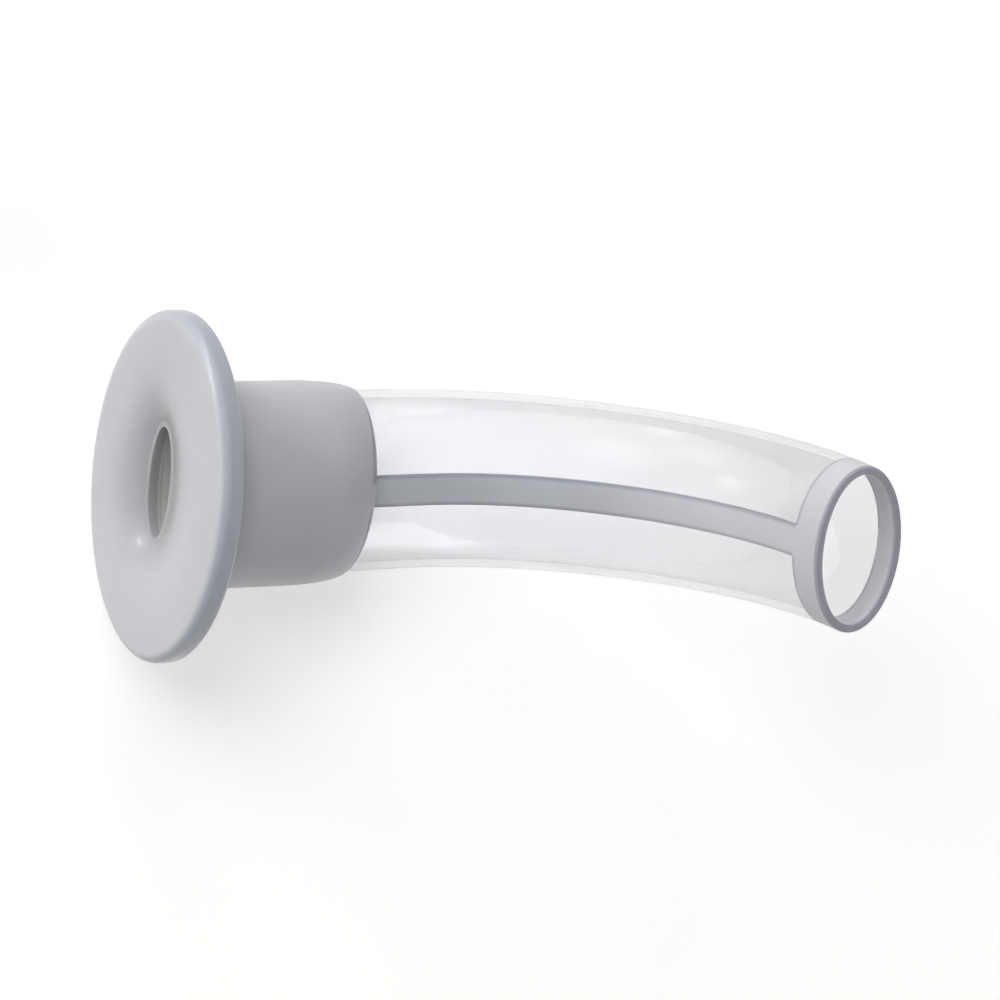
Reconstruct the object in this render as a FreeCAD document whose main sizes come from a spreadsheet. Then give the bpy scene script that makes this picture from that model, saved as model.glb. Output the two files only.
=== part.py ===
"""Oropharyngeal airway: a clear bent oval tube with a soft flange, collar, strip and tip ring.

Design axes: X runs along the straight part, from the front of the flange towards the tip.
Y runs across the mouth. The tube bends towards -Z, so +Z is its outer side.
Both pieces are laid down together at the end, the way the airway comes to rest on a table.
"""
import FreeCAD, Part
import Sketcher
import math
import os

# Driving dimensions, in millimetres and degrees
DIMENSIONS = [
    ("straight_length", 25.9, "front of the flange to the start of the bend"),
    ("bend_radius", 27.6, "centre line of the bend"),
    ("bend_angle", 99.6, "how far the tube turns"),
    ("tip_height", 8.6, "outside of the oval at the tip, in the plane of the bend"),
    ("tip_width", 15.1, "outside of the oval at the tip, across"),
    ("core_height", 9.4, "outside of the oval at the mouth end, in the plane of the bend"),
    ("core_width", 17.0, "outside of the oval at the mouth end, across"),
    ("tube_wall", 0.75, "wall of the thin part of the tube"),
    ("core_start", 3.0, "front of the flange to the hard core"),
    ("throat_height", 3.4, "passage through the bite block, in the plane of the bend"),
    ("throat_width", 10.0, "passage through the bite block, across"),
    ("throat_rise", 1.7, "offset of the mouth and throat towards the outer side"),
    ("throat_end", 13.0, "front of the flange to where the throat starts to widen"),
    ("flare_end", 18.4, "front of the flange to where the thin wall starts"),
    ("flange_height", 21.6, "flange in the plane of the bend"),
    ("flange_width", 31.2, "flange across"),
    ("flange_thickness", 2.4, "flange at its edge"),
    ("flange_front_round", 0.9, "round of the flange's front edge"),
    ("flange_back_round", 0.6, "round of the flange's back edge"),
    ("flange_root_round", 0.5, "round between the flange and the collar"),
    ("dish_depth", 1.6, "dish of the flange's face, at the mouth's lip"),
    ("dish_land", 0.4, "flat land between the dish and the rounded edge"),
    ("mouth_round", 0.9, "round of the mouth's lip, from the dish into the throat"),
    ("collar_height", 15.7, "collar in the plane of the bend"),
    ("collar_width", 18.3, "collar across"),
    ("nose_start", 13.6, "front of the flange to the collar's rounded end"),
    ("collar_end", 19.9, "front of the flange to the far end of the collar"),
    ("strip_width", 2.8, "strip along the inside of the bend"),
    ("strip_depth", 0.5, "how deep the strip is let into the tube's wall"),
    ("strip_root", 4.0, "length of the strip that the collar hides"),
    ("ring_length", 3.2, "soft ring at the tip, on the centre line"),
    ("ring_lean", 12.5, "lean of the ring's start, longer on the inside of the bend"),
    ("tip_round", 0.25, "round of the tip's outer edge"),
]

# Angles along the quarter round of the collar's end, in degrees
NOSE_ANGLES = (0, 20, 40, 60, 74, 84)
# Angles along the quarter round of the mouth's lip, in degrees, from where the dish meets it
LIP_ANGLES = (30, 50, 70, 90)
# Shares of the way from the dish's edge to the mouth's lip
DISH_SHARES = (0.0, 0.3, 0.6, 0.8, 1.0)
# How the dish's fall grows with the share of the way, as a horn does: almost flat, then steep
DISH_POWER = 3
# How far a cutting form runs past what it cuts
OVERRUN = 1.0

# Lengths and sizes that follow from the driving dimensions
BEND_LENGTH = "(Sizes.bend_radius * Sizes.bend_angle * pi / 180)"
TUBE_END = f"(Sizes.straight_length + {BEND_LENGTH})"
TUBE_LENGTH = f"({TUBE_END} - Sizes.core_start)"
RING_START = "(Sizes.bend_angle - Sizes.ring_length / Sizes.bend_radius * 180 / pi)"

doc = FreeCAD.newDocument("oropharyngeal_airway")
sheet = doc.addObject("Spreadsheet::Sheet", "Sizes")
for row, (alias, value, note) in enumerate(DIMENSIONS, start=1):
    sheet.set(f"A{row}", note)
    sheet.set(f"B{row}", str(value))
    sheet.setAlias(f"B{row}", alias)
doc.recompute()


def tube_half(side, distance, inset="0"):
    """Half size of the tube's oval, less an inset, at a distance from the flange's front."""
    share = f"(({distance} - Sizes.core_start) / {TUBE_LENGTH})"
    size = f"(Sizes.core_{side} + (Sizes.tip_{side} - Sizes.core_{side}) * {share})"
    return f"({size} / 2 - {inset})"


def blend(start, end, share):
    """Expression for the value at a share of the way from start to end."""
    return f"({start} + ({end} - {start}) * {share})"


def origin_plane(body, role):
    """The body's own origin plane with this role."""
    return next(plane for plane in body.Origin.OriginFeatures if plane.Role == role)


def new_sketch(body, name, role):
    """A sketch on one of the body's origin planes."""
    sketch = body.newObject("Sketcher::SketchObject", name)
    sketch.AttachmentSupport = [(origin_plane(body, role), "")]
    sketch.MapMode = "FlatFace"
    return sketch


def bind(sketch, constraint, expression):
    """Add a constraint to a sketch and bind its value to an expression."""
    index = sketch.addConstraint(constraint)
    sketch.setExpression(f"Constraints[{index}]", expression)


def cross_sketch(body, name, distance, rise="0"):
    """A sketch across the straight part: its X is across the mouth, its Y is outwards."""
    sketch = new_sketch(body, name, "YZ_Plane")
    sketch.setExpression("AttachmentOffset.Base.z", distance)
    sketch.setExpression("AttachmentOffset.Base.y", rise)
    return sketch


def bend_sketch(body, name, angle, lean="0"):
    """A sketch across the tube at an angle of the bend, or leaning on from it."""
    sketch = new_sketch(body, name, "YZ_Plane")
    tilt = FreeCAD.Rotation(FreeCAD.Vector(1, 0, 0), 45)
    sketch.AttachmentOffset = FreeCAD.Placement(FreeCAD.Vector(), tilt)
    along = f"Sizes.straight_length + Sizes.bend_radius * sin({angle})"
    down = f"-Sizes.bend_radius * (1 - cos({angle}))"
    sketch.setExpression("AttachmentOffset.Base.z", along)
    sketch.setExpression("AttachmentOffset.Base.y", down)
    sketch.setExpression("AttachmentOffset.Rotation.Angle", f"{angle} + {lean}")
    return sketch


def add_oval(sketch, half_width, half_height):
    """An ellipse about the sketch's origin, with its long axis across the mouth."""
    long_draft = FreeCAD.Vector(sheet.core_width / 2, 0, 0)
    short_draft = FreeCAD.Vector(0, sheet.core_height / 2, 0)
    draft = Part.Ellipse(long_draft, short_draft, FreeCAD.Vector())
    oval = sketch.addGeometry(draft, False)
    sketch.exposeInternalGeometry(oval)
    long_axis = oval + 1
    short_axis = oval + 2
    sketch.addConstraint(Sketcher.Constraint("Coincident", oval, 3, -1, 1))
    sketch.addConstraint(Sketcher.Constraint("Horizontal", long_axis))
    long_size = Sketcher.Constraint("Distance", long_axis, sheet.core_width)
    short_size = Sketcher.Constraint("Distance", short_axis, sheet.core_height)
    bind(sketch, long_size, f"2 * {half_width}")
    bind(sketch, short_size, f"2 * {half_height}")
    return sketch


def add_rectangle(sketch, width, top, bottom):
    """A rectangle about the sketch's Y axis, between two heights below its origin."""
    corners = [(-1, -2), (1, -2), (1, -4), (-1, -4)]
    points = [FreeCAD.Vector(x, y, 0) for x, y in corners]
    sides = [Part.LineSegment(points[i], points[(i + 1) % 4]) for i in range(4)]
    upper, right, lower, left = sketch.addGeometry(sides, False)
    for first, second in ((upper, right), (right, lower), (lower, left), (left, upper)):
        sketch.addConstraint(Sketcher.Constraint("Coincident", first, 2, second, 1))
    sketch.addConstraint(Sketcher.Constraint("Symmetric", upper, 1, upper, 2, -2))
    sketch.addConstraint(Sketcher.Constraint("Horizontal", lower))
    for side in (left, right):
        sketch.addConstraint(Sketcher.Constraint("Vertical", side))
    bind(sketch, Sketcher.Constraint("DistanceX", upper, 1, upper, 2, 2), width)
    bind(sketch, Sketcher.Constraint("DistanceY", upper, 1, -1, 1, 2), top)
    bind(sketch, Sketcher.Constraint("DistanceY", lower, 1, -1, 1, 4), bottom)
    return sketch


def centre_line(body, name, start):
    """The tube's centre line: a straight run, then the bend as one tangent arc."""
    sketch = new_sketch(body, name, "XZ_Plane")
    length = sheet.straight_length
    radius = sheet.bend_radius
    run_draft = Part.LineSegment(FreeCAD.Vector(sheet.core_start, 0, 0), FreeCAD.Vector(length, 0, 0))
    circle = Part.Circle(FreeCAD.Vector(length, -radius, 0), FreeCAD.Vector(0, 0, 1), radius)
    bend_draft = Part.ArcOfCircle(circle, 0, math.pi / 2)
    run, bend = sketch.addGeometry([run_draft, bend_draft], False)
    sketch.addConstraint(Sketcher.Constraint("PointOnObject", run, 1, -1))
    sketch.addConstraint(Sketcher.Constraint("Horizontal", run))
    sketch.addConstraint(Sketcher.Constraint("Tangent", run, 2, bend, 2))
    bind(sketch, Sketcher.Constraint("DistanceX", -1, 1, run, 1, sheet.core_start), start)
    bind(sketch, Sketcher.Constraint("DistanceX", -1, 1, run, 2, length), "Sizes.straight_length")
    bind(sketch, Sketcher.Constraint("Radius", bend, radius), "Sizes.bend_radius")
    bind(sketch, Sketcher.Constraint("Angle", bend, math.pi / 2), "Sizes.bend_angle")
    return sketch


def add_sweep(body, name, path, edges, first, last=None):
    """Sweep a section along edges of a path, changing evenly into the last section if there is one."""
    sweep = body.newObject("PartDesign::AdditivePipe", name)
    sweep.Profile = first
    sweep.Spine = (path, edges)
    if last:
        sweep.Sections = [(last, "")]
        sweep.Transformation = "Multisection"
    return sweep


def add_loft(body, kind, name, sections):
    """An additive or subtractive loft through sketches, in their order."""
    loft = body.newObject(f"PartDesign::{kind}Loft", name)
    loft.Profile = sections[0]
    loft.Sections = [(section, "") for section in sections[1:]]
    return loft


def add_pad(body, name, sketch, length):
    """Pad a sketch along its normal."""
    pad = body.newObject("PartDesign::Pad", name)
    pad.Profile = sketch
    pad.setExpression("Length", length)
    return pad


def edges_across(shape, distance, half_width):
    """Names of the edges that lie across the straight part and have this half width."""
    names = []
    for number, edge in enumerate(shape.Edges, start=1):
        box = edge.BoundBox
        flat = abs(box.XMin - distance) < 0.01 and abs(box.XMax - distance) < 0.01
        if flat and abs(box.YMax - half_width) < 0.05:
            names.append(f"Edge{number}")
    return names


def add_fillet(body, name, base, distance, half_width, radius):
    """Round the edge across the straight part that has this half width."""
    doc.recompute()
    fillet = body.newObject("PartDesign::Fillet", name)
    fillet.Base = (base, edges_across(base.Shape, distance, half_width))
    fillet.setExpression("Radius", radius)
    return fillet


def add_tube_oval(sketch, distance, inset):
    """The tube's oval at a distance from the flange's front, less an inset all round."""
    return add_oval(sketch, *[tube_half(side, distance, inset) for side in ("width", "height")])


def add_oval_tube(body, name, start, inset):
    """The tube's outline as a solid, less an inset all round, from a distance to the tip.

    The straight part is a plain loft. The bend is swept from its tip back to the straight part.
    """
    run_start = cross_sketch(body, name + "_run_start", start)
    add_tube_oval(run_start, start, inset)
    run_end = cross_sketch(body, name + "_run_end", "Sizes.straight_length")
    add_tube_oval(run_end, "Sizes.straight_length", inset)
    add_loft(body, "Additive", name + "_run", [run_start, run_end])

    bend_start = bend_sketch(body, name + "_bend_start", "0")
    add_tube_oval(bend_start, "Sizes.straight_length", inset)
    bend_end = bend_sketch(body, name + "_bend_end", "Sizes.bend_angle")
    add_tube_oval(bend_end, TUBE_END, inset)
    path = centre_line(body, name + "_centre_line", start)
    return add_sweep(body, name + "_bend", path, ["Edge2"], bend_end, bend_start)


def swept_oval(name, inset):
    """A solid of the tube's outline, less an inset all round, from the core to the tip."""
    body = doc.addObject("PartDesign::Body", name)
    add_oval_tube(body, name, "Sizes.core_start", inset)
    return body


def outer_form():
    """The tube's outline as a solid, with the tip's outer edge rounded."""
    body = swept_oval("outer_form", "0")
    sweep = body.Tip
    doc.recompute()
    tip_face = min(sweep.Shape.Faces, key=lambda face: face.CenterOfMass.z)
    tip_edges = [
        f"Edge{number}"
        for number, edge in enumerate(sweep.Shape.Edges, start=1)
        if any(edge.isSame(border) for border in tip_face.Edges)
    ]
    fillet = body.newObject("PartDesign::Fillet", "tip_rounding")
    fillet.Base = (sweep, tip_edges)
    fillet.setExpression("Radius", "Sizes.tip_round")
    return body


def passage_form():
    """What the tube is hollowed by: throat, flare, and the wide passage to past the tip."""
    body = doc.addObject("PartDesign::Body", "passage_form")
    half_throat = ("Sizes.throat_width / 2", "Sizes.throat_height / 2")
    rise = "Sizes.throat_rise"
    mouth = cross_sketch(body, "throat_oval", f"Sizes.core_start - {OVERRUN}", rise)
    add_oval(mouth, *half_throat)
    add_pad(body, "throat", mouth, f"Sizes.throat_end - Sizes.core_start + {OVERRUN}")

    narrow = add_oval(cross_sketch(body, "flare_start", "Sizes.throat_end", rise), *half_throat)
    wide = cross_sketch(body, "flare_finish", "Sizes.flare_end")
    add_tube_oval(wide, "Sizes.flare_end", "Sizes.tube_wall")
    add_loft(body, "Additive", "flare", [narrow, wide])
    add_oval_tube(body, "wide_passage", "Sizes.flare_end", "Sizes.tube_wall")

    way_out = bend_sketch(body, "passage_exit", "Sizes.bend_angle")
    add_tube_oval(way_out, TUBE_END, "Sizes.tube_wall")
    add_pad(body, "passage_overrun", way_out, f"{OVERRUN}")
    return body


def strip_zone():
    """The band along the inside of the bend that the strip takes out of the tube's skin."""
    body = doc.addObject("PartDesign::Body", "strip_zone")
    start = "(Sizes.collar_end - Sizes.strip_root)"
    section = cross_sketch(body, "strip_section", start)
    add_rectangle(
        section,
        "Sizes.strip_width",
        "Sizes.tip_height / 4",
        f"Sizes.core_height / 2 + {OVERRUN}",
    )
    path = centre_line(body, "strip_centre_line", start)
    add_sweep(body, "strip_band", path, ["Edge1", "Edge2"], section)
    return body


def ring_zone():
    """The space past the plane where the clear tube ends and the soft ring begins."""
    body = doc.addObject("PartDesign::Body", "ring_zone")
    section = bend_sketch(body, "ring_section", RING_START, "Sizes.ring_lean")
    reach = [f"(Sizes.core_{side} / 2 + {OVERRUN})" for side in ("width", "height")]
    add_oval(section, *reach)
    add_pad(body, "ring_block", section, f"2 * Sizes.ring_length + {OVERRUN}")
    return body


def collar_nose(body):
    """The collar's rounded end: a quarter round that closes in on the tube's oval."""
    last_angle = NOSE_ANGLES[-1]
    sections = []
    for angle in NOSE_ANGLES:
        reach = f"(sin({angle}) / sin({last_angle}))"
        distance = blend("Sizes.nose_start", "Sizes.collar_end", reach)
        halves = [
            blend(tube_half(side, "Sizes.collar_end"), f"Sizes.collar_{side} / 2", f"cos({angle})")
            for side in ("width", "height")
        ]
        sections.append(add_oval(cross_sketch(body, f"nose_{angle}", distance), *halves))
    return add_loft(body, "Additive", "collar_nose", sections)


def lip_half(side, angle):
    """Half size of the mouth at an angle along its lip."""
    return f"(Sizes.throat_{side} / 2 + Sizes.mouth_round * (1 - sin({angle})))"


def mouth_lip(body):
    """The mouth's round lip, which turns the end of the dish into the throat."""
    first_angle = LIP_ANGLES[0]
    sections = []
    for angle in LIP_ANGLES:
        fall = f"Sizes.mouth_round * (cos({first_angle}) - cos({angle}))"
        sketch = cross_sketch(body, f"lip_{angle}", f"Sizes.dish_depth + {fall}", "Sizes.throat_rise")
        sections.append(add_oval(sketch, lip_half("width", angle), lip_half("height", angle)))
    return add_loft(body, "Subtractive", "mouth_lip", sections)


def face_dish(body):
    """The dish of the flange's face, which falls like a horn and steepens towards the mouth."""
    sections = []
    for share in DISH_SHARES:
        fall = share ** DISH_POWER
        name = f"dish_{int(share * 100)}"
        sketch = cross_sketch(body, name, f"Sizes.dish_depth * {fall}", f"Sizes.throat_rise * {share}")
        halves = []
        for side in ("width", "height"):
            edge = f"(Sizes.flange_{side} / 2 - Sizes.flange_front_round - Sizes.dish_land)"
            halves.append(blend(edge, lip_half(side, LIP_ANGLES[0]), share))
        sections.append(add_oval(sketch, *halves))
    return add_loft(body, "Subtractive", "face_dish", sections)


def grip_form():
    """The flange and the collar, solid apart from the dish and the mouth."""
    body = doc.addObject("PartDesign::Body", "grip_form")
    flange_oval = cross_sketch(body, "flange_oval", "0")
    add_oval(flange_oval, "Sizes.flange_width / 2", "Sizes.flange_height / 2")
    add_pad(body, "flange", flange_oval, "Sizes.flange_thickness")

    collar_oval = cross_sketch(body, "collar_oval", "Sizes.flange_thickness")
    add_oval(collar_oval, "Sizes.collar_width / 2", "Sizes.collar_height / 2")
    add_pad(body, "collar", collar_oval, "Sizes.nose_start - Sizes.flange_thickness")
    nose = collar_nose(body)

    half_flange = sheet.flange_width / 2
    thickness = sheet.flange_thickness
    front = add_fillet(body, "front_rounding", nose, 0, half_flange, "Sizes.flange_front_round")
    back = add_fillet(body, "back_rounding", front, thickness, half_flange, "Sizes.flange_back_round")
    half_collar = sheet.collar_width / 2
    add_fillet(body, "root_rounding", back, thickness, half_collar, "Sizes.flange_root_round")

    mouth_oval = cross_sketch(body, "mouth_oval", "0", "Sizes.throat_rise")
    add_oval(mouth_oval, "Sizes.throat_width / 2", "Sizes.throat_height / 2")
    mouth = body.newObject("PartDesign::Pocket", "mouth")
    mouth.Profile = mouth_oval
    mouth.Reversed = True
    mouth.setExpression("Length", f"Sizes.core_start + {OVERRUN}")
    face_dish(body)
    mouth_lip(body)
    return body


def cut(name, base, tool):
    """The base less the tool."""
    result = doc.addObject("Part::Cut", name)
    result.Base = base
    result.Tool = tool
    return result


def common(name, base, tool):
    """What the base and the tool share."""
    result = doc.addObject("Part::Common", name)
    result.Base = base
    result.Tool = tool
    return result


def build_pieces():
    """The clear tube, and the soft plastic that is moulded round and into it."""
    outer = outer_form()
    wall = cut("tube_wall", outer, passage_form())
    tip_space = ring_zone()
    skin = cut("tube_skin", outer, swept_oval("inlay_form", "Sizes.strip_depth"))
    strip = common("strip", skin, strip_zone())
    ring = common("ring", wall, tip_space)
    tube = cut("airway_tube", cut("tube_without_ring", wall, tip_space), strip)
    overmould = doc.addObject("Part::MultiFuse", "soft_overmould")
    overmould.Shapes = [cut("collar_shell", grip_form(), outer), strip, ring]
    doc.recompute()
    return [tube, overmould]


def rest_slope():
    """Slope of the straight part, in degrees, when the airway lies on its outer side.

    It rests on the bend and on the collar or the flange, whichever lifts it more. For each of
    their foremost points this is the line that also touches the outside of the bend.
    """
    half_tube = sheet.core_height / 2
    half_collar = sheet.collar_height / 2
    nose_length = sheet.collar_end - sheet.nose_start
    supports = [(sheet.flange_thickness, sheet.flange_height / 2)]
    for angle in NOSE_ANGLES:
        reach = math.sin(math.radians(angle)) / math.sin(math.radians(NOSE_ANGLES[-1]))
        height = half_tube + (half_collar - half_tube) * math.cos(math.radians(angle))
        supports.append((sheet.nose_start + nose_length * reach, height))
    bend_outside = sheet.bend_radius + (sheet.core_height + sheet.tip_height) / 4
    slopes = []
    for along, height in supports:
        back = sheet.straight_length - along
        above = sheet.bend_radius + height
        lean = math.acos(bend_outside / math.hypot(back, above))
        slopes.append(math.degrees(lean - math.atan2(back, above)))
    return max(slopes)


def lay_down(pieces):
    """Turn the pieces over onto the outer side of the bend, where they come to rest."""
    over = FreeCAD.Rotation(FreeCAD.Vector(1, 0, 0), 180)
    slope = FreeCAD.Rotation(FreeCAD.Vector(0, 1, 0), rest_slope())
    turn = slope.multiply(over)
    box = FreeCAD.BoundBox()
    for piece in pieces:
        piece.Placement = FreeCAD.Placement(FreeCAD.Vector(), turn)
        box.add(piece.Shape.optimalBoundingBox())
    shift = FreeCAD.Vector(-box.Center.x, -box.Center.y, -box.ZMin)
    for piece in pieces:
        piece.Placement = FreeCAD.Placement(shift, turn)


def check(pieces):
    """Stop on any object that failed, and on a piece that isn't one valid solid."""
    for item in doc.Objects:
        if "Invalid" in item.State or "Error" in item.State:
            raise RuntimeError(f"{item.Label} failed: {item.State}")
    for piece in pieces:
        shape = piece.Shape
        if shape.isNull() or not shape.isValid() or len(shape.Solids) != 1:
            raise RuntimeError(f"{piece.Label} is not one valid solid")


parts = build_pieces()
lay_down(parts)
check(parts)
os.makedirs("parts", exist_ok=True)
for part in parts:
    part.Shape.exportStep(f"parts/{part.Label}.step")
    print(part.Label, "volume", round(part.Shape.Volume, 1), "mm3")
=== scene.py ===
"""Looks and studio for the oropharyngeal airway, in metres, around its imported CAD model."""

import math

import bpy
from mathutils import Matrix, Vector

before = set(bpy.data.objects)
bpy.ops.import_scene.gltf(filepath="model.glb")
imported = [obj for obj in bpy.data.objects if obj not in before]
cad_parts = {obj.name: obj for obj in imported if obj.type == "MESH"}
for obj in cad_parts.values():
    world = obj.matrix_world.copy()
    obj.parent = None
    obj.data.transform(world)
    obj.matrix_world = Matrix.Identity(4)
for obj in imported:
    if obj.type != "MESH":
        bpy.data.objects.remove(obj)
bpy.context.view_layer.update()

MM = 0.001
ORIGIN = Vector((0.0, 0.0, 0.0))
X_AXIS = Vector((1.0, 0.0, 0.0))
Y_AXIS = Vector((0.0, 1.0, 0.0))
Z_AXIS = Vector((0.0, 0.0, 1.0))

# The view: what the camera aims at, and where it stands
AIM = Vector((5.8, -2.2, 3.0)) * MM
CAMERA_DISTANCE = 0.5436
CAMERA_AZIMUTH = 153.6
CAMERA_ELEVATION = 63.9
CAMERA_ROLL = 120.2
FOCAL_LENGTH = 216.0
SENSOR_WIDTH = 36.0
NEAR_CLIP = 0.01

# Softboxes, and two small lamps for highlights on the tube and the flange: azimuth and elevation in
# degrees, distance and size in metres, power in watts
LAMPS = {
    "key_softbox": {"azimuth": 135.0, "elevation": 45.0, "distance": 1.5, "size": 0.75, "power": 7.6},
    "low_softbox": {"azimuth": 140.0, "elevation": 12.0, "distance": 1.5, "size": 0.64, "power": 5.0},
    "top_softbox": {"azimuth": 100.0, "elevation": 30.0, "distance": 1.5, "size": 0.75, "power": 3.4},
    "side_softbox": {"azimuth": 180.0, "elevation": 20.0, "distance": 1.5, "size": 0.75, "power": 2.2},
    "back_softbox": {"azimuth": 315.0, "elevation": 24.0, "distance": 1.5, "size": 1.3, "power": 6.5},
    "tube_lamp": {"azimuth": 110.0, "elevation": 6.0, "distance": 0.7, "size": 0.07, "power": 0.6},
    "flange_lamp": {"azimuth": 163.0, "elevation": 5.0, "distance": 0.7, "size": 0.07, "power": 0.5},
}
# Lamps that light the object but aren't mirrored in it
MATTE_LAMPS = ("key_softbox", "top_softbox", "side_softbox", "back_softbox")

# The white surroundings: how strong they light the object, and how strong they look
WORLD_COLOUR = (1.0, 1.0, 1.0, 1.0)
FILL_STRENGTH = 0.10
BACKGROUND_STRENGTH = 1.0

# The floor, and the light added to it where it is seen, so that it shows white outside the shadow
FLOOR_SIZE = 4.0
FLOOR_COLOUR = (0.98, 0.955, 0.925, 1.0)
FLOOR_LIFT = 0.45

# The grip: the centre of the flange's front, and how far its height leans from upright, in degrees
GRIP_CENTRE = Vector((-30.52, 0.0, 11.10)) * MM
GRIP_LEAN = 13.055
# Half sizes, across and up, of the flange, of the dish where painted shade darkens it and of the mouth
# where painted light brightens it, and how far the dish and the mouth lie above the flange's centre
FLANGE_REACH = (15.6 * MM, 10.8 * MM)
DISH_REACH = (10.0 * MM, 7.0 * MM)
DISH_RISE = -1.0 * MM
MOUTH_REACH = (5.6 * MM, 2.2 * MM)
MOUTH_RISE = -1.7 * MM
# Depths from the flange's front: just past the flange, where the mouth starts, and inside the throat
FLANGE_DEPTH = 2.6 * MM
MOUTH_DEPTH = 1.8 * MM
THROAT_DEPTH = 5.0 * MM
# Where the rim's painted shade grows outwards and the dish's painted shade grows inwards, as shares of
# their reach
RIM_SPAN = (0.945, 0.985)
DISH_SPAN = (1.0, 0.3)

# The soft ring: a point on the plane where it starts and one on its end face, with the planes' leans
RING_START = Vector((28.32, 0.0, 27.31)) * MM
RING_START_LEAN = -2.4
RING_END = Vector((28.66, 0.0, 30.46)) * MM
RING_END_LEAN = 3.45
# The strip: where it leaves the collar, along X, and half its width
STRIP_START = -11.0 * MM
STRIP_HALF_WIDTH = 1.4 * MM
# Width of the painted shade along the edges of the strip and the ring, how far it may pass the ring's
# start, and where it grows towards the end face
BORDER_WIDTH = 0.45 * MM
BORDER_SLACK = 0.1 * MM
END_BORDER_SPAN = (-0.4 * MM, -0.1 * MM)

# The soft plastic's greys, from darker to lighter cloud, in the thick grip and at the thin tip, and
# where along X the one gives way to the other; the tip's are lighter, painted light for light passing
# through its thin walls
THICK_GREYS = ((0.535, 0.55, 0.585, 1.0), (0.56, 0.575, 0.61, 1.0))
TIP_GREYS_PAINTED_LIGHTER = ((0.555, 0.56, 0.59, 1.0), (0.585, 0.59, 0.62, 1.0))
THICK_END = 0.0 * MM
THIN_START = 25.0 * MM
# What that grey is multiplied by: painted shade on the rim and in the dish, painted light in the mouth,
# and painted shade on the thin edges
RIM_PAINTED_SHADE = (0.80, 0.82, 0.86, 1.0)
DISH_PAINTED_SHADE = (0.72, 0.715, 0.69, 1.0)
MOUTH_PAINTED_LIGHT = (1.4, 1.36, 1.29, 1.0)
EDGE_PAINTED_SHADE = (0.62, 0.61, 0.66, 1.0)
# Its skin, with a glossier coat on the flange, and how far light spreads under it in each colour
SOFT_IOR = 1.48
SOFT_ROUGHNESS = (0.30, 0.42)
FLANGE_COAT = 0.6
COAT_ROUGHNESS = 0.16
SPREAD_SHARE = 0.5
SPREAD_COLOURS = (1.0, 1.05, 1.15)
SPREAD_LENGTH = 1.6 * MM

# The clear plastic, and the tones that its skin gives to what is seen straight and at a slant through it
CLEAR_IOR = 1.45
CLEAR_COLOUR = (0.90, 0.905, 0.915, 1.0)
CLEAR_ROUGHNESS = (0.20, 0.24)
STRAIGHT_TONE = (0.926, 0.929, 0.938, 1.0)
SLANT_TONE = (0.80, 0.80, 0.83, 1.0)
SLANT_BLEND = 0.35
SLANT_SPAN = (0.45, 1.0)
# Share of the clear plastic that neither bends nor reflects what is seen through it
CLEAR_SHARE = 0.78
# The core in the collar is milky up to one depth from the flange's front and clear past the other
CORE_COLOUR = (0.62, 0.61, 0.59, 1.0)
CORE_START = 13.0 * MM
CORE_END = 18.4 * MM

# Noise: cycles per metre and levels of detail, and the middle part of its values that is used
CLOUD_SCALE = 140.0
CLOUD_DETAIL = 3.0
CLOUD_SPAN = (0.35, 0.65)
GRAIN_SCALE = 9000.0
GRAIN_DETAIL = 2.0
GRAIN_HEIGHT = 0.01 * MM
GRAIN_STRENGTH = 0.3
FLOW_SCALE = 260.0
FLOW_DETAIL = 2.0
ROUGHNESS_SPAN = (0.3, 0.7)


def direction(azimuth, elevation):
    """Unit vector towards an azimuth from +X and an elevation, both in degrees."""
    turn = math.radians(azimuth)
    rise = math.radians(elevation)
    flat = math.cos(rise)
    return Vector((flat * math.cos(turn), flat * math.sin(turn), math.sin(rise)))


def leaning(degrees):
    """Unit vector in the plane of the bend that leans this far from upright towards +X."""
    lean = math.radians(degrees)
    return Vector((math.sin(lean), 0.0, math.cos(lean)))


def looking_from(back, distance, roll=0.0):
    """Matrix of something that stands back in this direction from the aim and looks at it."""
    right = Z_AXIS.cross(back).normalized()
    up = back.cross(right)
    turn = Matrix((right, up, back)).transposed() @ Matrix.Rotation(math.radians(roll), 3, "Z")
    return Matrix.Translation(AIM + back * distance) @ turn.to_4x4()


def add_camera():
    """The camera at the photograph's viewing angle."""
    data = bpy.data.cameras.new("camera")
    data.lens = FOCAL_LENGTH
    data.sensor_width = SENSOR_WIDTH
    data.clip_start = NEAR_CLIP
    camera = bpy.data.objects.new("camera", data)
    camera.matrix_world = looking_from(
        direction(CAMERA_AZIMUTH, CAMERA_ELEVATION), CAMERA_DISTANCE, CAMERA_ROLL
    )
    bpy.context.collection.objects.link(camera)
    bpy.context.scene.camera = camera


def add_lamps():
    """Disks of light round the object."""
    for name, lamp in LAMPS.items():
        data = bpy.data.lights.new(name, "AREA")
        data.shape = "DISK"
        data.size = lamp["size"]
        data.energy = lamp["power"]
        light = bpy.data.objects.new(name, data)
        light.visible_glossy = name not in MATTE_LAMPS
        light.matrix_world = looking_from(
            direction(lamp["azimuth"], lamp["elevation"]), lamp["distance"]
        )
        bpy.context.collection.objects.link(light)


def calculate(tree, operation, *values):
    """One step of arithmetic with sockets or plain numbers."""
    node = tree.nodes.new("ShaderNodeMath")
    node.operation = operation
    for socket, value in zip(node.inputs, values):
        if isinstance(value, float):
            socket.default_value = value
        else:
            tree.links.new(value, socket)
    return node.outputs[0]


def seen_ray(tree):
    """Socket that is 1 for rays that show the background: camera, glossy and transmission."""
    path = tree.nodes.new("ShaderNodeLightPath")
    shown = calculate(tree, "MAXIMUM", path.outputs["Is Camera Ray"], path.outputs["Is Glossy Ray"])
    return calculate(tree, "MAXIMUM", shown, path.outputs["Is Transmission Ray"])


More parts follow.
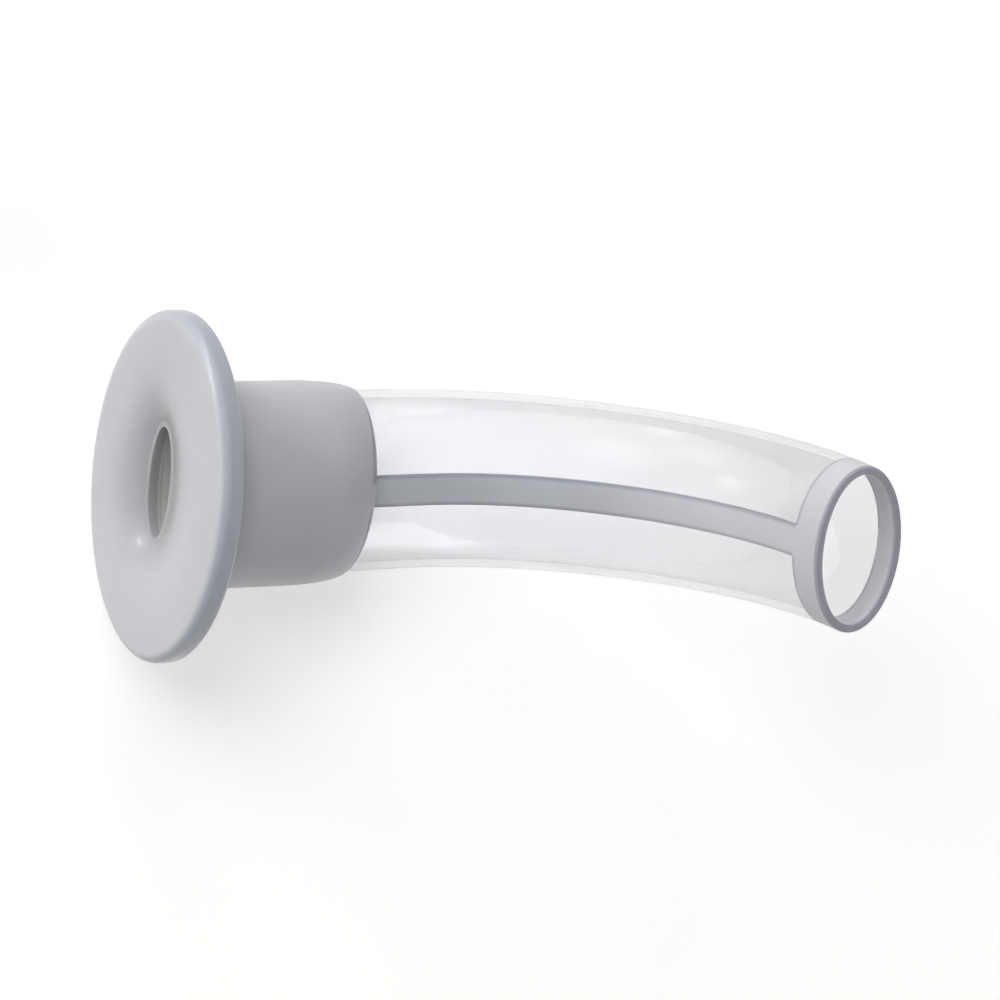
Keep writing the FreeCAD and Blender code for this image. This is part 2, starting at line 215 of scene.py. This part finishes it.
def set_world():
    """Even white surroundings: full white where they are seen, dimmer as a fill light."""
    world = bpy.data.worlds.new("studio")
    world.use_nodes = True
    tree = world.node_tree
    background = tree.nodes["Background"]
    background.inputs["Color"].default_value = WORLD_COLOUR
    strength = map_range(tree, seen_ray(tree), (0.0, 1.0), (FILL_STRENGTH, BACKGROUND_STRENGTH))
    tree.links.new(strength, background.inputs["Strength"])
    bpy.context.scene.world = world


def floor_material():
    """Pale diffuse floor with a lift of its own where it is seen."""
    material = bpy.data.materials.new("floor_white")
    material.use_nodes = True
    tree = material.node_tree
    tree.nodes.clear()
    output = tree.nodes.new("ShaderNodeOutputMaterial")
    diffuse = tree.nodes.new("ShaderNodeBsdfDiffuse")
    diffuse.inputs["Color"].default_value = FLOOR_COLOUR
    glow = tree.nodes.new("ShaderNodeEmission")
    both = tree.nodes.new("ShaderNodeAddShader")
    tree.links.new(calculate(tree, "MULTIPLY", seen_ray(tree), FLOOR_LIFT), glow.inputs["Strength"])
    tree.links.new(diffuse.outputs[0], both.inputs[0])
    tree.links.new(glow.outputs[0], both.inputs[1])
    tree.links.new(both.outputs[0], output.inputs["Surface"])
    return material


def add_floor():
    """A plain floor that shows white and keeps the object's shadow."""
    half = FLOOR_SIZE / 2
    corners = [(-half, -half, 0), (half, -half, 0), (half, half, 0), (-half, half, 0)]
    mesh = bpy.data.meshes.new("floor")
    mesh.from_pydata(corners, [], [(0, 1, 2, 3)])
    floor = bpy.data.objects.new("floor", mesh)
    bpy.context.collection.objects.link(floor)
    mesh.materials.append(floor_material())


def new_material(name):
    """A material with a Principled shader: the material, its node tree and the shader."""
    material = bpy.data.materials.new(name)
    material.use_nodes = True
    tree = material.node_tree
    return material, tree, tree.nodes["Principled BSDF"]


def object_noise(tree, scale, detail):
    """Noise in the object's own coordinates, with its scale in cycles per metre."""
    place = tree.nodes.new("ShaderNodeTexCoord")
    noise = tree.nodes.new("ShaderNodeTexNoise")
    noise.inputs["Scale"].default_value = scale
    noise.inputs["Detail"].default_value = detail
    tree.links.new(place.outputs["Object"], noise.inputs["Vector"])
    return noise.outputs["Fac"]


def ramp(tree, factor, colours, span):
    """A colour that goes from the first to the second as a factor crosses a span."""
    node = tree.nodes.new("ShaderNodeValToRGB")
    for element, colour, position in zip(node.color_ramp.elements, colours, span):
        element.position = position
        element.color = colour
    tree.links.new(factor, node.inputs["Fac"])
    return node.outputs["Color"]


def map_range(tree, factor, span, values):
    """A number that goes from the first value to the second as a factor crosses a span."""
    node = tree.nodes.new("ShaderNodeMapRange")
    node.inputs["From Min"].default_value = span[0]
    node.inputs["From Max"].default_value = span[1]
    node.inputs["To Min"].default_value = values[0]
    node.inputs["To Max"].default_value = values[1]
    tree.links.new(factor, node.inputs["Value"])
    return node.outputs["Result"]


def smooth_step(tree, value, start, end):
    """0 up to the start, 1 from the end, and smooth between them."""
    node = tree.nodes.new("ShaderNodeMapRange")
    node.interpolation_type = "SMOOTHSTEP"
    node.inputs["From Min"].default_value = start
    node.inputs["From Max"].default_value = end
    tree.links.new(value, node.inputs["Value"])
    return node.outputs["Result"]


def fine_bump(tree, factor, height, strength):
    """A bump of this height in metres."""
    bump = tree.nodes.new("ShaderNodeBump")
    bump.inputs["Distance"].default_value = height
    bump.inputs["Strength"].default_value = strength
    tree.links.new(factor, bump.inputs["Height"])
    return bump.outputs["Normal"]


def distance_along(tree, start, axis):
    """How far a place on the object lies from a start, along an axis, in metres."""
    place = tree.nodes.new("ShaderNodeTexCoord")
    offset = tree.nodes.new("ShaderNodeVectorMath")
    offset.operation = "SUBTRACT"
    offset.inputs[1].default_value = start
    along = tree.nodes.new("ShaderNodeVectorMath")
    along.operation = "DOT_PRODUCT"
    along.inputs[1].default_value = axis
    tree.links.new(place.outputs["Object"], offset.inputs[0])
    tree.links.new(offset.outputs["Vector"], along.inputs[0])
    return along.outputs["Value"]


def grip_depth(tree):
    """Depth behind the flange's front, towards the tip."""
    right_angle = 90.0
    return distance_along(tree, GRIP_CENTRE, leaning(GRIP_LEAN + right_angle))


def oval_distance(tree, first, second, half_sizes):
    """0 at the middle of an oval with these half sizes, 1 at its edge."""
    squares = []
    for value, half in zip((first, second), half_sizes):
        share = calculate(tree, "DIVIDE", value, half)
        squares.append(calculate(tree, "MULTIPLY", share, share))
    return calculate(tree, "SQRT", calculate(tree, "ADD", *squares))


def mix_colours(tree, factor, first, second):
    """A colour between two others."""
    mix = tree.nodes.new("ShaderNodeMix")
    mix.data_type = "RGBA"
    tree.links.new(factor, mix.inputs["Factor"])
    tree.links.new(first, mix.inputs["A"])
    tree.links.new(second, mix.inputs["B"])
    return mix.outputs["Result"]


def tinted(tree, colour, mask, tint):
    """The colour, multiplied by a tint where the mask is 1."""
    mix = tree.nodes.new("ShaderNodeMix")
    mix.data_type = "RGBA"
    mix.blend_type = "MULTIPLY"
    tree.links.new(mask, mix.inputs["Factor"])
    tree.links.new(colour, mix.inputs["A"])
    mix.inputs["B"].default_value = tint
    return mix.outputs["Result"]


def grip_masks(tree):
    """Masks on the flange: its rim for painted shade, its polished skin, the dish near the mouth for
    painted shade, and the mouth for painted light.
    """
    depth = grip_depth(tree)
    across = distance_along(tree, GRIP_CENTRE, Y_AXIS)
    upward = distance_along(tree, GRIP_CENTRE, leaning(GRIP_LEAN))
    flange = calculate(tree, "LESS_THAN", depth, FLANGE_DEPTH)

    outward = oval_distance(tree, across, upward, FLANGE_REACH)
    # Painted shade on the flange's rim
    rim = calculate(tree, "MULTIPLY", flange, smooth_step(tree, outward, *RIM_SPAN))

    above_dish = calculate(tree, "SUBTRACT", upward, DISH_RISE)
    from_dish = oval_distance(tree, across, above_dish, DISH_REACH)
    # Painted shade in the dish round the mouth
    dish = calculate(tree, "MULTIPLY", flange, smooth_step(tree, from_dish, *DISH_SPAN))
    polish = calculate(tree, "SUBTRACT", flange, dish)

    above_mouth = calculate(tree, "SUBTRACT", upward, MOUTH_RISE)
    from_mouth = oval_distance(tree, across, above_mouth, MOUTH_REACH)
    inside = calculate(tree, "LESS_THAN", from_mouth, 1.0)
    # Painted light inside the mouth
    mouth = calculate(tree, "MULTIPLY", inside, smooth_step(tree, depth, MOUTH_DEPTH, THROAT_DEPTH))
    return rim, polish, dish, mouth


def edge_painted_shade_mask(tree):
    """Mask of painted shade on the thin edges of the strip and the ring, which look darker than their
    faces.
    """
    along = distance_along(tree, ORIGIN, X_AXIS)
    across = calculate(tree, "ABSOLUTE", distance_along(tree, ORIGIN, Y_AXIS))
    past_start = distance_along(tree, RING_START, leaning(RING_START_LEAN))
    past_end = distance_along(tree, RING_END, leaning(RING_END_LEAN))

    out_of_collar = calculate(tree, "GREATER_THAN", along, STRIP_START)
    before_ring = calculate(tree, "LESS_THAN", past_start, 0.0)
    strip_area = calculate(tree, "MULTIPLY", out_of_collar, before_ring)
    strip_edge = smooth_step(tree, across, STRIP_HALF_WIDTH - BORDER_WIDTH, STRIP_HALF_WIDTH)
    strip = calculate(tree, "MULTIPLY", strip_edge, strip_area)

    on_ring = calculate(tree, "GREATER_THAN", past_start, -BORDER_SLACK)
    beside_strip = calculate(tree, "GREATER_THAN", across, STRIP_HALF_WIDTH)
    ring_area = calculate(tree, "MULTIPLY", on_ring, beside_strip)
    ring_edge = smooth_step(tree, past_start, BORDER_WIDTH, 0.0)
    ring_start = calculate(tree, "MULTIPLY", ring_edge, ring_area)

    ring_end = smooth_step(tree, past_end, *END_BORDER_SPAN)
    return calculate(tree, "MAXIMUM", strip, calculate(tree, "MAXIMUM", ring_start, ring_end))


def soft_plastic():
    """Bluish grey soft plastic: satin from a fine mould texture, and slightly translucent, with painted
    shade on the flange's rim, in its dish and along the thin edges, and painted light in the mouth and
    towards the thin tip.
    """
    material, tree, shader = new_material("soft_grey_plastic")
    cloud = object_noise(tree, CLOUD_SCALE, CLOUD_DETAIL)
    thick = ramp(tree, cloud, THICK_GREYS, CLOUD_SPAN)
    thin = ramp(tree, cloud, TIP_GREYS_PAINTED_LIGHTER, CLOUD_SPAN)
    # The lighter grey towards the thin tip is painted light, for light passing through the thin walls
    painted_tip_light = smooth_step(tree, distance_along(tree, ORIGIN, X_AXIS), THICK_END, THIN_START)
    colour = mix_colours(tree, painted_tip_light, thick, thin)
    rim, polish, dish, mouth = grip_masks(tree)
    # Painted shade on the flange's rim
    colour = tinted(tree, colour, rim, RIM_PAINTED_SHADE)
    # Painted shade in the dish round the mouth
    colour = tinted(tree, colour, dish, DISH_PAINTED_SHADE)
    # Painted light inside the mouth
    colour = tinted(tree, colour, mouth, MOUTH_PAINTED_LIGHT)
    # Painted shade on the thin edges of the strip and the ring
    colour = tinted(tree, colour, edge_painted_shade_mask(tree), EDGE_PAINTED_SHADE)
    tree.links.new(colour, shader.inputs["Base Color"])
    tree.links.new(calculate(tree, "MULTIPLY", polish, FLANGE_COAT), shader.inputs["Coat Weight"])
    grain = object_noise(tree, GRAIN_SCALE, GRAIN_DETAIL)
    tree.links.new(map_range(tree, grain, ROUGHNESS_SPAN, SOFT_ROUGHNESS), shader.inputs["Roughness"])
    tree.links.new(fine_bump(tree, grain, GRAIN_HEIGHT, GRAIN_STRENGTH), shader.inputs["Normal"])
    shader.inputs["IOR"].default_value = SOFT_IOR
    shader.inputs["Subsurface Weight"].default_value = SPREAD_SHARE
    shader.inputs["Subsurface Radius"].default_value = SPREAD_COLOURS
    shader.inputs["Subsurface Scale"].default_value = SPREAD_LENGTH
    shader.inputs["Coat Roughness"].default_value = COAT_ROUGHNESS
    return material


def see_through(tree):
    """Shader that lets what is behind it show, in a greyer tone where it is seen at a slant."""
    facing = tree.nodes.new("ShaderNodeLayerWeight")
    facing.inputs["Blend"].default_value = SLANT_BLEND
    tone = ramp(tree, facing.outputs["Facing"], (STRAIGHT_TONE, SLANT_TONE), SLANT_SPAN)
    through = tree.nodes.new("ShaderNodeBsdfTransparent")
    tree.links.new(tone, through.inputs["Color"])
    return through.outputs[0]


def clear_plastic():
    """Clear hard plastic with a milky core, that casts a pale shadow where it is clear."""
    material, tree, shader = new_material("clear_hard_plastic")
    clear = smooth_step(tree, grip_depth(tree), CORE_START, CORE_END)
    tree.links.new(ramp(tree, clear, (CORE_COLOUR, CLEAR_COLOUR), (0.0, 1.0)), shader.inputs["Base Color"])
    tree.links.new(clear, shader.inputs["Transmission Weight"])
    flow = object_noise(tree, FLOW_SCALE, FLOW_DETAIL)
    tree.links.new(map_range(tree, flow, ROUGHNESS_SPAN, CLEAR_ROUGHNESS), shader.inputs["Roughness"])
    shader.inputs["IOR"].default_value = CLEAR_IOR

    path = tree.nodes.new("ShaderNodeLightPath")
    share = map_range(tree, path.outputs["Is Shadow Ray"], (0.0, 1.0), (CLEAR_SHARE, 1.0))
    mix = tree.nodes.new("ShaderNodeMixShader")
    tree.links.new(calculate(tree, "MULTIPLY", share, clear), mix.inputs["Fac"])
    tree.links.new(shader.outputs[0], mix.inputs[1])
    tree.links.new(see_through(tree), mix.inputs[2])
    tree.links.new(mix.outputs[0], tree.nodes["Material Output"].inputs["Surface"])
    return material


def finish_node(name, material):
    """Give a CAD node its material."""
    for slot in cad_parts[name].material_slots:
        slot.material = material


finish_node("soft_overmould", soft_plastic())
finish_node("airway_tube", clear_plastic())

add_floor()
add_lamps()
set_world()
add_camera()
bpy.context.scene.view_settings.view_transform = "Standard"
